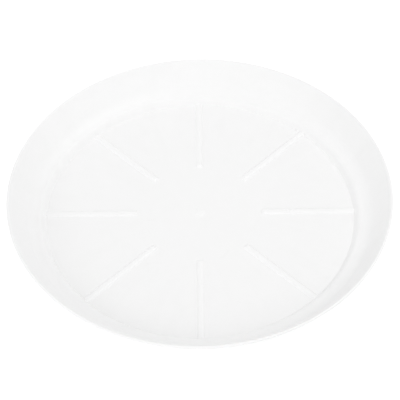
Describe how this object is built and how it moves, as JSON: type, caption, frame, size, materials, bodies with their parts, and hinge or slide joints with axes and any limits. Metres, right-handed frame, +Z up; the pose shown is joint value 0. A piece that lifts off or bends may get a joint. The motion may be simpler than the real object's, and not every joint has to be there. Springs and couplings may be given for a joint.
{
  "type": "plant saucer",
  "caption": "Round white moulded plant saucer with a stepped floor, a flared wall with a thickened lip, and raised radial ribs that hold a pot clear of drained water.",
  "frame": {"origin": "on the saucer's axis, at the level of the surface that its foot ring stands on", "axes": "+Z up along the axis of the saucer; +X along the first pot rib, +Y along the third"},
  "size_m": [0.3, 0.3, 0.0316],
  "materials": {
    "white_plastic": "satin"
  },
  "bodies": {
    "root": {"floor_disc": "white_plastic", "step_ring": "white_plastic", "side_wall": "white_plastic", "rim_lip": "white_plastic", "foot_ring": "white_plastic", "gate_mark": "white_plastic", "pot_rib_1": "white_plastic", "pot_rib_2": "white_plastic", "pot_rib_3": "white_plastic", "pot_rib_4": "white_plastic", "pot_rib_5": "white_plastic", "pot_rib_6": "white_plastic", "pot_rib_7": "white_plastic", "pot_rib_8": "white_plastic"}
  },
  "joints": []
}
